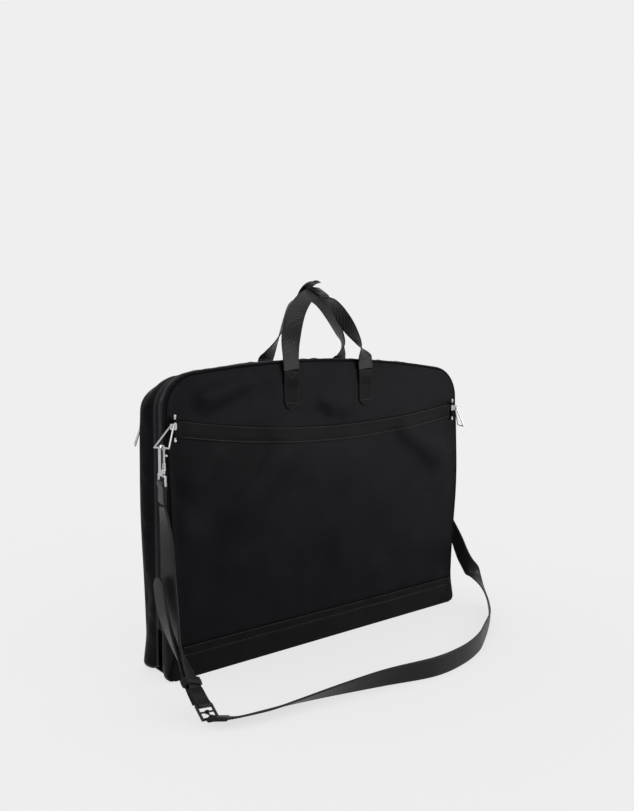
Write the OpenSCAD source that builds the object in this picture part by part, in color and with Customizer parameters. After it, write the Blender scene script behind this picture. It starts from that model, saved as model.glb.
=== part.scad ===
/* [Case] */
// Width of the closed case, across the front
case_w = 580; // [560:5:600]
// Height of the top edge in the middle, above the floor
case_h = 442; // [430:2:450]
// How far the top edge falls from the middle to the side edges
top_sag = 23; // [16:1:28]
// Thickness of the closed case, front face to back face
case_t = 75; // [75:1:80]
// Radius of the two top corners
top_corner_r = 52; // [40:2:60]
// Radius of the two bottom corners
bottom_corner_r = 20; // [12:1:26]

/* [Panels] */
// Thickness of the padded outer panel of each leaf
panel_t = 3; // [2.5:0.1:3.2]
// Thickness of the padded wall round each leaf
wall_t = 5; // [4.5:0.1:5.5]
// Thickness of the stiff inner board of each leaf
board_t = 2; // [1.5:0.1:2.5]
// Thickness of the bottom board that both leaves hinge on
spine_t = 3; // [2.5:0.1:3]

/* [Trim] */
// Height of the curved leather band over each slip pocket
trim_h = 25; // [22:1:26]
// Height of the middle of that band at its ends
trim_z = 351; // [348:1:354]
// How far the band sags between its ends
trim_sag = 24; // [18:1:28]
// Height of the leather band along the bottom edge
foot_band_h = 46; // [40:1:50]

/* [Handles and strap] */
// Width of the handle webbing and of its leather tabs
handle_w = 30; // [26:1:32]
// Thickness of the handle webbing
handle_t = 2; // [1.6:0.1:2.4]
// Distance from the middle of the case to the middle of each tab
tab_x = 75; // [70:1:80]
// Width of the shoulder strap
strap_w = 28; // [24:1:30]
// Thickness of the shoulder strap
strap_t = 2.4; // [2:0.1:2.6]

/* [Hidden] */

$fn = 48;

// Colours
nylon = "#26252b";
leather = "#1b1b1d";
webbing = "#2e2e33";
nickel = "#c9ccd0";
dark_metal = "#55575c";
lining = "#3a3a40";

// The case stands on z = 0 with its front face towards -Y; x = 0 is the middle of its width
// and y = 0 is the plane where the two leaves meet.
half_w = case_w / 2;
face_y = case_t / 2;
arch_r = (pow(half_w, 2) + pow(top_sag, 2)) / (2 * top_sag);
arch_z = case_h - arch_r;
hinge_gap = 0.4;
seam_gap = 0.2;
leaf_z = spine_t + hinge_gap;
big = 2000;
eps = 0.01;

// Layers of a leaf, as distances from the plane where the leaves meet
pocket_t = 1.2;
trim_t = 2;
board_y = face_y - pocket_t - panel_t;
tape_top = 7;
coil_y = 3;
coil_gap = 0.6;
tape_in = 7;
tape_t = 1.5;
coil_in = 6.2;
coil_t = 3;
zip_foot_z = 62;
piping_w = 3;
foot_band_t = 1.1;

// The padded wall steps in towards the zip: its inset, thickness and depth at each step
mid_inset = 3;
mid_y = 18;
low_inset = 6;
low_t = 3;
low_y = 12;

// Fittings inside the leaves
sheet_pocket_w = 400;
sheet_pocket_h = 170;
sheet_pocket_t = 1;
sheet_pocket_low = 16;
corner_strap_x = half_w - 62;
corner_strap_low = 62;
corner_strap_high = 346;
corner_strap_len = 110;
corner_strap_w = 20;
corner_strap_t = 1;

// The pins at the ends of the trim bands, and the lugs that turn on them
pin_x = half_w - 13;
pin_r = 1.6;
pin_h = trim_h + 9;
pin_head = 0.5;
pin_y = face_y + 3.4;
fold_r = 3.4;
fold_gap = 10;
fit = 0.08;
lug_r = 3;
lug_z = 354;
lug_h = 8;
lug_reach = 7;
lug_turn = 24;
tongue_t = 2.6;

// The sagging middle line of the trim band is an arc through both pins.
curve_r = (pow(pin_x, 2) + pow(trim_sag, 2)) / (2 * trim_sag);
curve_z = trim_z - trim_sag + curve_r;

// The wire rings that hang from the lugs
ring_wire_r = 1.2;
ring_top_w = 5.8;
ring_bottom_w = 24;
ring_drop = 34;
loaded_lean = 40;
free_lean = 18;

// The snap hooks that hang from two of the rings
hook_wire_r = 1.8;
hook_r = 4.6;
hook_len = 32;
bolt_r = 1.3;
bolt_travel = 6;
bolt_low_z = 7.5 - hook_len;
nose_len = 3;
guide_r = 2.2;
guide_h = 13.5;
knob_z = -11.5;
knob_r = 1.9;
knob_stem_r = 1.4;
knob_len = 4.5;
bolt_gap = 0.3;
collar_r = 4.8;
collar_h = 5;
swivel_pin_r = 1.5;
swivel_head_h = 1.2;
swivel_head = 0.5;
swivel_gap = 0.4;
swivel_drop = 16;
loop_r = 1.5;
loop_w = strap_w + 4;
strap_turn = -36;
end_roll_r = 4.2;
end_len = 26;
end_t = 4.8;

// Webbing handles
handle_y = face_y + 2;
handle_z = 427;
tab_t = 1.6;
tab_low_z = 366;
tab_top_z = handle_z - 1.5;
keeper_x = -10;
keeper_len = 19;
keeper_tilt = 28;
keeper_y = 17;
keeper_z = 545.6;
keeper_wall = 1.6;
keeper_room_w = 0.8;
keeper_room_t = 2.8;
stud_h = 1.4;
snap_h = 0.8;
snap_slope = 1.5;
flap_r = 41.5;
flap_y = -10;
flap_z = 521.5;
flap_t = 1.8;
flap_front = -10;
flap_back = 60;
snap_r = 5;
snap_angle = -2;
stud_r = 3;

// The slider parks at the lower end of the zip, on the right side
slider_z = 84;
slider_h = 16;
slider_w = 9;
slider_gap = 0.4;
plate_t = 1.3;
post_w = 0.6;
puller_len = 30;
puller_w = 7;
puller_t = 1.4;
puller_pin_r = 0.7;
bridge_w = 2.4;
bridge_out = 3.2;
bridge_hole = 0.72;
arm_gap = 0.4;
arm_w = 1.2;
arm_up = 1;
arm_down = 8;
puller_eye_r = 1.6;
puller_eye_up = 4;

// Each route lists the middle of a strip and the direction across it.
front_handle_route = [
    [[-76, -handle_y, handle_z], [1, 0, 0]],
    [[-78, -39.3, 446], [1, 0, 0]],
    [[-77, -34.5, 474], [0.96, -0.28, 0]],
    [[-63, -26, 508], [0.7, -0.7, -0.1]],
    [[-42, -19, 533], [0.25, -0.9, -0.35]],
    [[-22, -keeper_y, 544], [0, -0.88, -0.47]],
    [[2, -keeper_y, 544], [0, -0.88, -0.47]],
    [[20, -18, 531], [0.05, -0.97, -0.15]],
    [[42, -23, 500], [0.15, -0.96, 0.2]],
    [[61, -33, 468], [-0.45, -0.88, 0.1]],
    [[70, -39, 447], [-0.99, -0.1, 0]],
    [[72.5, -handle_y, 440], [-1, 0, 0]],
    [[74, -handle_y, handle_z], [-1, 0, 0]]
];
back_handle_route = [
    [[-74, handle_y, handle_z], [-1, 0, 0]],
    [[-72.5, handle_y, 440], [-1, 0, 0]],
    [[-67, 35, 452], [-0.92, -0.35, 0]],
    [[-57, 25, 476], [-0.6, -0.8, 0]],
    [[-46, 19, 508], [-0.3, -0.93, 0.2]],
    [[-34, 17.5, 533], [-0.1, -0.92, 0.35]],
    [[-18, keeper_y, 543.5], [0, -0.88, 0.47]],
    [[6, keeper_y, 543.5], [0, -0.88, 0.47]],
    [[26, 17.5, 532], [-0.1, -0.95, 0.3]],
    [[50, 18, 504], [-0.2, -0.97, 0.15]],
    [[72, 24, 474], [-0.4, -0.9, 0]],
    [[79, 34, 453], [-0.85, -0.5, 0]],
    [[78.5, handle_y, 440], [-1, 0, 0]],
    [[78, handle_y, handle_z], [-1, 0, 0]]
];
short_route = [
    [[-303.4, -52.6, 249.5], [0.2, 0.98, 0]],
    [[-301.6, -60, 206], [0.2, 0.98, 0]],
    [[-301.6, -69, 152], [0.15, 0.97, -0.12]],
    [[-304.5, -83, 111], [0.2, 0.9, -0.35]],
    [[-308, -107, 74], [0.45, 0.75, -0.45]],
    [[-308.5, -134, 45], [0.8, 0.48, -0.38]],
    [[-308.5, -157.7, 23.8], [0.86, 0.4, -0.29]]
];
tail_route = [
    [[-314, -57, 157], [0.1, 0.96, -0.25]],
    [[-314, -68, 118], [0.15, 0.93, -0.3]],
    [[-313.5, -88, 85], [0.25, 0.85, -0.45]],
    [[-312.5, -113, 58], [0.5, 0.68, -0.52]],
    [[-311.8, -138, 36.5], [0.84, 0.42, -0.36]],
    [[-310.5, -156.6, 19.4], [0.86, 0.4, -0.29]]
];
floor_route = [
    [[-299, -180.5, 7.5], [-0.7, -0.66, 0.22]],
    [[-276, -193.5, 7.6], [-0.5, -0.75, 0.42]],
    [[-237, -201, 7.8], [-0.3, -0.85, 0.43]],
    [[-195, -206, 8.9], [-0.2, -0.8, 0.55]],
    [[-134, -218, 12], [-0.1, -0.6, 0.78]],
    [[-66, -232, 14.2], [0, -0.3, 0.95]],
    [[12, -250, 14.8], [0, 0, 1]],
    [[75, -246, 14.8], [0, 0, 1]],
    [[130, -229, 14.8], [0, 0, 1]],
    [[172, -206, 14.8], [0.05, 0, 1]],
    [[222, -175, 16], [0.05, -0.1, 1]],
    [[266, -139, 17], [-0.2, 0, 0.98]],
    [[300, -104, 25], [-0.35, 0.25, 0.9]],
    [[310, -74, 48], [-0.25, 0.7, 0.7]],
    [[309, -46, 78], [-0.1, 0.9, 0.4]],
    [[309, -22, 118], [0, 0.96, 0.28]],
    [[305, 22, 182], [0.1, 0.99, 0.1]],
    [[304, 46, 222], [0.2, 0.98, 0]],
    [[303.4, 52.6, 250], [0.2, 0.98, 0]]
];
keeper_loop_at = [-310.2, -136, 40.7];
keeper_loop_across = [0.83, 0.42, -0.36];
keeper_loop_run = [0.02, -0.74, -0.67];
keeper_loop_t = 1.5;
keeper_loop_h = 10;
keeper_loop_depth = 11;
keeper_loop_room = 3;
buckle_at = [-307, -168.5, 13.6];
buckle_across = [0.86, 0.4, -0.29];
buckle_run = [0.1, -0.72, -0.69];
buckle_half = 9;
buckle_wire_r = 1.8;
buckle_bar_r = 1.2;
buckle_room = 3;
prong_r = 1.1;
prong_eye_r = 2.5;
prong_eye_w = 4;
prong_root = 1.4;
prong_over = 2;
prong_lift = 4.8;

// ---------- outlines ----------

function arc(x, z, r, from, to, steps) = [
    for (i = [0 : steps]) let (a = from + (to - from) * i / steps) [x + r * cos(a), z + r * sin(a)]
];

// The face of a leaf, arched at the top and rounded at its four corners, taken in by "inset".
module leaf_outline(inset = 0) {
    r = max(top_corner_r - inset, 1);
    low_r = max(bottom_corner_r - inset, 1);
    top_r = arch_r - inset;
    corner_x = half_w - inset - r;
    corner_z = arch_z + sqrt(pow(top_r - r, 2) - pow(corner_x, 2));
    low_x = half_w - inset - low_r;
    low_z = inset + low_r;
    meet = atan2(corner_z - arch_z, corner_x);
    step = (180 - 2 * meet) / 24;
    polygon(concat(
        arc(low_x, low_z, low_r, -90, 0, 6),
        arc(corner_x, corner_z, r, 0, meet, 8),
        arc(0, arch_z, top_r, meet + step, 180 - meet - step, 22),
        arc(-corner_x, corner_z, r, 180 - meet, 180, 8),
        arc(-low_x, low_z, low_r, 180, 270, 6)
    ));
}

// A slab of the leaf's outline between two distances from the meeting plane, on the front side.
module leaf_slab(inset, y_in, y_out, low_z = leaf_z) {
    intersection() {
        translate([0, -y_in, 0]) rotate([90, 0, 0]) linear_extrude(y_out - y_in) leaf_outline(inset);
        translate([-big / 2, -big / 2, low_z]) cube([big, big, big]);
    }
}

// A wall that follows the outline, from one inset to a deeper one.
module leaf_wall(inset, thick, y_in, y_out, low_z = leaf_z) {
    difference() {
        leaf_slab(inset, y_in, y_out, low_z);
        leaf_slab(inset + thick, y_in - 1, y_out + 1, -1);
    }
}

// The back leaf mirrors the front one.
module to_back() {
    mirror([0, 1, 0]) children();
}

// ---------- strips of webbing and strap ----------

function unit(v) = v / norm(v);
function blend_at(a, b, c, d, t) =
    0.5 * ((2 * b) + (c - a) * t + (2 * a - 5 * b + 4 * c - d) * t * t
    + (3 * b - a - 3 * c + d) * t * t * t);
function clamp_at(list, i) = list[min(max(i, 0), len(list) - 1)];
function route_at(route, part, i, t) =
    blend_at(clamp_at(route, i - 1)[part], clamp_at(route, i)[part],
             clamp_at(route, i + 1)[part], clamp_at(route, i + 2)[part], t);
function along(route, part, steps) = [
    for (i = [0 : len(route) - 2]) for (k = [0 : steps - 1]) route_at(route, part, i, k / steps),
    route[len(route) - 1][part]
];

// A flat strip of one thickness along a route of middles and across-directions.
module strip(route, width, thick, steps = 4) {
    mid = along(route, 0, steps);
    across = along(route, 1, steps);
    count = len(mid);
    rings = [
        for (i = [0 : count - 1])
            let (
                run = unit(clamp_at(mid, i + 1) - clamp_at(mid, i - 1)),
                side = unit(across[i] - (across[i] * run) * run) * width / 2,
                face = unit(cross(side, run)) * thick / 2
            )
            [mid[i] - side - face, mid[i] + side - face, mid[i] + side + face, mid[i] - side + face]
    ];
    points = [for (ring = rings) for (p = ring) p];
    last = 4 * (count - 1);
    sides = [
        for (i = [0 : count - 2]) for (k = [0 : 3])
            let (a = 4 * i + k, b = 4 * i + (k + 1) % 4)
            each [[a, b, b + 4], [a, b + 4, a + 4]]
    ];
    ends = [[0, 2, 1], [0, 3, 2], [last, last + 1, last + 2], [last, last + 2, last + 3]];
    polyhedron(points, concat(sides, ends), convexity = 6);
}

// ---------- leaves ----------

module panel() {
    color(nylon) leaf_slab(piping_w + seam_gap / 2, board_y, board_y + panel_t);
}

// Padded wall, stepped in towards the zip; the bottom is left to the spine board.
module gusset() {
    open_w = case_w - 2 * bottom_corner_r;
    color(nylon) difference() {
        union() {
            leaf_wall(0, wall_t, mid_y, board_y);
            leaf_wall(mid_inset, wall_t, low_y, mid_y);
            leaf_wall(low_inset, low_t, tape_top, low_y);
            intersection() {
                leaf_wall(low_inset, low_t, coil_gap, tape_top + eps);
                translate([-half_w, -case_t, 0]) cube([case_w, case_t, zip_foot_z - 1]);
            }
        }
        translate([-open_w / 2, -case_t, 0]) cube([open_w, case_t, bottom_corner_r / 2]);
    }
}

// Seam cord round the edge of the outer panel
module piping() {
    y = board_y + seam_gap / 2;
    color(leather) leaf_wall(-piping_w / 2, 1.5 * piping_w, y, y + piping_w);
}

// Zip tape and coil, round both sides and the top
module zip_tape() {
    color(nylon) leaf_wall(tape_in, tape_t, coil_y, tape_top, zip_foot_z);
    color(dark_metal) leaf_wall(coil_in, coil_t, coil_gap, coil_y + eps, zip_foot_z);
}

module board() {
    color(lining) leaf_slab(wall_t + seam_gap, board_y - board_t, board_y);
}

// Everything above the sagging curve "rise" over the middle line of the trim band
module above_curve(rise) {
    translate([0, curve_z]) circle(curve_r - rise, $fn = 720);
}

module pocket_panel() {
    out_y = board_y + panel_t + pocket_t;
    color(nylon) difference() {
        leaf_slab(piping_w + seam_gap, board_y + panel_t, out_y);
        translate([0, -board_y, 0]) rotate([90, 0, 0]) linear_extrude(case_t) above_curve(0);
    }
}

// Curved band with its ends rolled round the pins; each roll leaves a gap for a lug.
module trim_band() {
    color(leather) difference() {
        union() {
            translate([0, -face_y, 0]) rotate([90, 0, 0]) linear_extrude(trim_t) intersection() {
                difference() {
                    above_curve(-trim_h / 2);
                    above_curve(trim_h / 2);
                }
                translate([-pin_x, 0]) square([2 * pin_x, case_h]);
            }
            for (side = [-1, 1]) {
                translate([side * pin_x, -pin_y, trim_z - trim_h / 2]) cylinder(trim_h, r = fold_r);
            }
        }
        for (side = [-1, 1]) {
            translate([side * pin_x, -pin_y, trim_z - trim_h]) cylinder(2 * trim_h, r = pin_r);
            translate([side * pin_x, -pin_y, lug_z]) cube(fold_gap, center = true);
        }
    }
}

module foot_band() {
    color(leather) intersection() {
        leaf_slab(piping_w + seam_gap, face_y, face_y + foot_band_t);
        translate([-half_w, -case_t, 0]) cube([case_w, case_t, foot_band_h + leaf_z]);
    }
}

module pins() {
    color(nickel) for (side = [-1, 1]) translate([side * pin_x, -pin_y, trim_z - pin_h / 2]) {
        cylinder(pin_h, r = pin_r);
        for (z = [0, pin_h]) translate([0, 0, z]) sphere(pin_r + pin_head);
    }
}

// Leather tab under the end of a handle, square at the top and round at the bottom
module tab(x) {
    y = board_y + panel_t;
    color(leather) translate([x, -y, 0]) rotate([90, 0, 0]) linear_extrude(tab_t) {
        translate([0, tab_low_z + handle_w / 2]) circle(d = handle_w);
        translate([-handle_w / 2, tab_low_z + handle_w / 2])
            square([handle_w, tab_top_z - tab_low_z - handle_w / 2]);
    }
}

// Elastic bands across the inside corners of the front leaf
module corner_straps() {
    color(webbing) for (side = [-1, 1]) for (level = [0, 1]) {
        z = level ? corner_strap_high : corner_strap_low;
        translate([side * corner_strap_x, corner_strap_t / 2 + board_t - board_y, z])
            rotate([90, side * (level ? 45 : -45), 0])
                cube([corner_strap_len, corner_strap_w, corner_strap_t], center = true);
    }
}

// Pocket for loose sheets, on the inside of the back leaf
module sheet_pocket() {
    y = board_y - board_t - sheet_pocket_t;
    color(lining) translate([-sheet_pocket_w / 2, y, leaf_z + sheet_pocket_low])
        cube([sheet_pocket_w, sheet_pocket_t, sheet_pocket_h]);
}

// ---------- zip slider ----------

// Two plates, one each side of the coils, joined by a thin post that passes between them
module zip_slider() {
    outer_x = half_w - coil_in + slider_gap;
    inner_x = half_w - coil_in - coil_t - slider_gap;
    color(dark_metal) translate([0, -slider_w / 2, slider_z]) difference() {
        union() {
            translate([outer_x, 0, 0]) cube([plate_t, slider_w, slider_h]);
            translate([inner_x - plate_t, 0, 0]) cube([plate_t, slider_w, slider_h]);
            translate([inner_x - eps, (slider_w - post_w) / 2, slider_h / 3])
                cube([outer_x - inner_x + 2 * eps, post_w, slider_h / 3]);
            translate([outer_x + plate_t - eps, slider_w / 2 - bridge_w / 2, slider_h / 2])
                cube([bridge_out, bridge_w, slider_h / 2 - 1]);
        }
        translate([outer_x + plate_t + bridge_out / 2, -1, slider_h * bridge_hole])
            rotate([-90, 0, 0]) cylinder(slider_w + 2, r = puller_pin_r + fit);
    }
}

module zip_puller() {
    x = half_w - coil_in + slider_gap + plate_t + bridge_out / 2;
    z = slider_z + slider_h * bridge_hole;
    arm_y = bridge_w / 2 + arm_gap;
    color(nickel) translate([x, 0, z]) {
        rotate([-90, 0, 0]) translate([0, 0, -arm_y - arm_w]) cylinder(2 * (arm_y + arm_w), r = puller_pin_r);
        for (side = [-1, 1]) translate([-puller_t / 2, side * (arm_y + arm_w / 2) - arm_w / 2, -arm_down])
            cube([puller_t, arm_w, arm_down + arm_up]);
        difference() {
            translate([-puller_t / 2, -puller_w / 2, -puller_len])
                cube([puller_t, puller_w, puller_len - arm_down + arm_up]);
            translate([-puller_t, 0, puller_eye_up - puller_len]) rotate([0, 90, 0])
                cylinder(2 * puller_t, r = puller_eye_r);
        }
    }
}

// ---------- pins, lugs, rings and hooks ----------

// Everything at a corner is made for the front left one and mirrored to the others.
module at_side(right) {
    if (right) mirror([1, 0, 0]) children();
    else children();
}
module at_face(back) {
    if (back) to_back() children();
    else children();
}

// Frame of a lug: +X points outwards from the pin, Y lies along the hole for the ring.
module at_lug(right, back) {
    at_side(right) at_face(back) translate([-pin_x, -pin_y, lug_z]) rotate([0, 0, 180 + lug_turn])
        children();
}

// Frame of a snap hook: its origin is the middle of the lower bar of the ring that it hangs on.
module at_hook(right, back) {
    out = lug_reach + ring_drop * sin(loaded_lean);
    at_lug(right, back) translate([out, 0, -ring_drop * cos(loaded_lean)]) children();
}

module rod(a, b, r) {
    v = b - a;
    translate(a) rotate([0, acos(v.z / norm(v)), atan2(v.y, v.x)]) cylinder(norm(v), r = r);
}

module lug(right, back) {
    color(nickel) at_lug(right, back) difference() {
        union() {
            translate([0, 0, -lug_h / 2]) cylinder(lug_h, r = lug_r);
            translate([lug_r - 1, -tongue_t / 2, -lug_h / 2]) cube([lug_reach + 3 - lug_r, tongue_t, lug_h]);
        }
        translate([0, 0, -lug_h]) cylinder(2 * lug_h, r = pin_r + fit);
        translate([lug_reach, tongue_t, 0]) rotate([90, 0, 0]) cylinder(2 * tongue_t, r = ring_wire_r + fit);
    }
}

// Triangular wire ring through the hole in a lug, leaning outwards
module ring(right, back, lean) {
    top = ring_top_w / 2;
    low = ring_bottom_w / 2;
    corners = [[0, -top, 0], [0, top, 0], [0, low, -ring_drop], [0, -low, -ring_drop]];
    color(nickel) at_lug(right, back) translate([lug_reach, 0, 0]) rotate([0, -lean, 0])
        for (i = [0 : 3]) {
            rod(corners[i], corners[(i + 1) % 4], ring_wire_r);
            translate(corners[i]) sphere(ring_wire_r);
        }
}

// Crook, spine, collar and the guide tube of the bolt
module hook(right, back) {
    crook_z = ring_wire_r + hook_wire_r + fit - hook_r;
    color(nickel) at_hook(right, back) difference() {
        union() {
            translate([0, 0, crook_z]) {
                rotate([90, 0, 0]) rotate_extrude(angle = 180) translate([hook_r, 0]) circle(hook_wire_r);
                translate([-hook_r, 0, -nose_len]) cylinder(nose_len, r = hook_wire_r);
                translate([hook_r, 0, -hook_len - crook_z]) cylinder(hook_len, r = hook_wire_r);
            }
            translate([0, 0, -hook_len - collar_h / 2]) cylinder(collar_h, r = collar_r);
            translate([-hook_r, 0, -hook_len - collar_h / 2]) cylinder(guide_h, r = guide_r);
        }
        translate([0, 0, -hook_len - collar_h]) cylinder(2 * collar_h, r = swivel_pin_r + fit);
        translate([-hook_r, 0, bolt_low_z - bolt_travel - 0.5]) cylinder(guide_h, r = bolt_r + fit);
    }
}

// Sprung bolt that closes the crook, with its thumb knob
module hook_bolt(right, back) {
    top_z = ring_wire_r + hook_wire_r + fit - hook_r - nose_len - bolt_gap;
    color(nickel) at_hook(right, back) translate([-hook_r, 0, 0]) {
        translate([0, 0, bolt_low_z]) cylinder(top_z - bolt_low_z, r = bolt_r);
        translate([0, 0, knob_z]) rotate([0, -90, 0]) cylinder(knob_len, r = knob_stem_r);
        translate([-knob_len, 0, knob_z]) sphere(knob_r);
    }
}

// Turning pin in the collar and the flat loop that the strap is sewn round
module swivel(right, back) {
    low_z = -hook_len - swivel_drop;
    top_z = -hook_len - collar_h / 2 - loop_r - 0.7;
    pin_top = -hook_len + collar_h / 2 + swivel_gap;
    side = loop_w / 2;
    corners = [[0, -side, top_z], [0, side, top_z], [0, side, low_z], [0, -side, low_z]];
    color(nickel) at_hook(right, back) rotate([0, 0, strap_turn]) {
        translate([0, 0, top_z]) cylinder(pin_top - top_z, r = swivel_pin_r);
        translate([0, 0, pin_top - eps]) cylinder(swivel_head_h, r = swivel_pin_r + swivel_head);
        for (i = [0 : 3]) {
            rod(corners[i], corners[(i + 1) % 4], loop_r);
            translate(corners[i]) sphere(loop_r);
        }
    }
}

// Folded end of the strap, sewn round the swivel's lower bar
module strap_end(right, back) {
    bar_z = -hook_len - swivel_drop;
    color(leather) at_hook(right, back) rotate([0, 0, strap_turn]) difference() {
        union() {
            translate([0, strap_w / 2, bar_z]) rotate([90, 0, 0]) cylinder(strap_w, r = end_roll_r);
            translate([-end_t / 2, -strap_w / 2, bar_z - end_len]) cube([end_t, strap_w, end_len]);
        }
        translate([0, strap_w, bar_z]) rotate([90, 0, 0]) cylinder(2 * strap_w, r = loop_r + fit);
    }
}

// ---------- handles ----------

module handle_keeper() {
    room_w = handle_w + keeper_room_w;
    room_t = handle_t + keeper_room_t;
    color(leather) translate([keeper_x, -keeper_y, keeper_z]) rotate([keeper_tilt, 0, 0]) difference() {
        cube([keeper_len, room_w + 2 * keeper_wall, room_t + 2 * keeper_wall], center = true);
        cube([keeper_len + 2, room_w, room_t], center = true);
    }
}

// Leather flap sewn to the back handle, arching forwards over both
module keeper_flap() {
    color(leather) translate([keeper_x - keeper_len / 2, flap_y, flap_z]) rotate([0, 90, 0])
        linear_extrude(keeper_len) difference() {
            intersection() {
                circle(flap_r + flap_t / 2, $fn = 96);
                polygon([
                    [0, 0],
                    [-3 * flap_r * cos(flap_back), 3 * flap_r * sin(flap_back)],
                    [-3 * flap_r, 0],
                    [-3 * flap_r * cos(flap_front), 3 * flap_r * sin(flap_front)]
                ]);
            }
            circle(flap_r - flap_t / 2, $fn = 96);
        }
}

module handle(route) {
    color(webbing) strip(route, handle_w, handle_t);
}

module keeper_stud() {
    color(dark_metal) translate([keeper_x, -keeper_y, keeper_z]) rotate([keeper_tilt, 0, 0])
        translate([0, 0, (handle_t + keeper_room_t) / 2 + keeper_wall]) cylinder(stud_h, r = stud_r);
}

module keeper_snap() {
    color(dark_metal) translate([keeper_x, flap_y, flap_z]) rotate([-snap_angle, 0, 0])
        translate([0, 0, flap_r + flap_t / 2]) {
            cylinder(snap_h, r = snap_r);
            translate([0, 0, snap_h]) cylinder(snap_h, r1 = snap_r, r2 = snap_r - snap_slope);
        }
}

// ---------- shoulder strap hardware ----------

// Places a part with X across the strap and Z back up along it.
module along_strap(at, across, run) {
    up = -unit(run);
    x = unit(across - (across * up) * up);
    y = cross(up, x);
    multmatrix([
        [x.x, y.x, up.x, at.x],
        [x.y, y.y, up.y, at.y],
        [x.z, y.z, up.z, at.z],
        [0, 0, 0, 1]
    ]) children();
}

module strap_keeper() {
    w = strap_w + keeper_loop_room;
    color(leather) along_strap(keeper_loop_at, keeper_loop_across, keeper_loop_run) difference() {
        cube([w + 2 * keeper_loop_t, keeper_loop_depth + 2 * keeper_loop_t, keeper_loop_h], center = true);
        cube([w, keeper_loop_depth, keeper_loop_h + 2], center = true);
    }
}

module buckle_frame() {
    half_across = strap_w / 2 + buckle_room;
    corners = [
        [-half_across, 0, -buckle_half], [half_across, 0, -buckle_half],
        [half_across, 0, buckle_half], [-half_across, 0, buckle_half]
    ];
    color(dark_metal) along_strap(buckle_at, buckle_across, buckle_run) difference() {
        for (i = [0 : 3]) {
            rod(corners[i], corners[(i + 1) % 4], buckle_wire_r);
            translate(corners[i]) sphere(buckle_wire_r);
        }
        translate([-2 * half_across, 0, 0]) rotate([0, 90, 0])
            cylinder(4 * half_across, r = buckle_bar_r);
    }
}

module buckle_bar() {
    half_across = strap_w / 2 + buckle_room;
    color(dark_metal) along_strap(buckle_at, buckle_across, buckle_run)
        translate([-half_across - 1, 0, 0]) rotate([0, 90, 0])
            cylinder(2 * half_across + 2, r = buckle_bar_r);
}

module buckle_prong() {
    color(dark_metal) along_strap(buckle_at, buckle_across, buckle_run) difference() {
        union() {
            translate([-prong_eye_w / 2, 0, 0]) rotate([0, 90, 0]) cylinder(prong_eye_w, r = prong_eye_r);
            rod([0, prong_root, 0], [0, -prong_lift, -buckle_half - prong_over], prong_r);
        }
        translate([-prong_eye_w, 0, 0]) rotate([0, 90, 0]) cylinder(2 * prong_eye_w, r = buckle_bar_r + fit);
    }
}

// Board across the bottom; each leaf hinges on one of its long edges.
module spine_board() {
    length = case_w - 2 * bottom_corner_r;
    color(leather) translate([-length / 2, -face_y, 0]) cube([length, case_t, spine_t]);
}

spine_board();
panel();  // front_panel
gusset();  // front_gusset
piping();  // front_piping
zip_tape();  // front_zip_tape
board();  // front_board
pocket_panel();  // front_pocket_panel
trim_band();  // front_trim_band
foot_band();  // front_foot_band
corner_straps();  // front_corner_straps
tab(-tab_x);  // front_tab_left
tab(tab_x);  // front_tab_right
pins();  // front_pins
to_back() panel();  // back_panel
to_back() gusset();  // back_gusset
to_back() piping();  // back_piping
to_back() zip_tape();  // back_zip_tape
to_back() board();  // back_board
to_back() pocket_panel();  // back_pocket_panel
to_back() trim_band();  // back_trim_band
to_back() foot_band();  // back_foot_band
sheet_pocket();  // back_sheet_pocket
to_back() tab(-tab_x);  // back_tab_left
to_back() tab(tab_x);  // back_tab_right
to_back() pins();  // back_pins
handle(front_handle_route);  // front_handle
handle(back_handle_route);  // back_handle
handle_keeper();
keeper_stud();
keeper_flap();
keeper_snap();
zip_slider();
zip_puller();
lug(false, false);  // front_left_lug
lug(true, false);  // front_right_lug
lug(false, true);  // back_left_lug
lug(true, true);  // back_right_lug
ring(false, false, loaded_lean);  // front_left_ring
ring(true, false, free_lean);  // front_right_ring
ring(false, true, free_lean);  // back_left_ring
ring(true, true, loaded_lean);  // back_right_ring
hook(false, false);  // left_hook
hook_bolt(false, false);  // left_hook_bolt
swivel(false, false);  // left_swivel
strap_end(false, false);  // left_strap_end
hook(true, true);  // right_hook
hook_bolt(true, true);  // right_hook_bolt
swivel(true, true);  // right_swivel
strap_end(true, true);  // right_strap_end
color(leather) strip(short_route, strap_w, strap_t);  // short_strap
color(leather) strip(tail_route, strap_w, strap_t);  // strap_tail
color(leather) strip(floor_route, strap_w, strap_t);  // long_strap
strap_keeper();
buckle_frame();
buckle_bar();
buckle_prong();
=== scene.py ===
import math
import bmesh
import bpy
from mathutils import Matrix, Vector, noise
from mathutils.geometry import delaunay_2d_cdt


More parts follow.
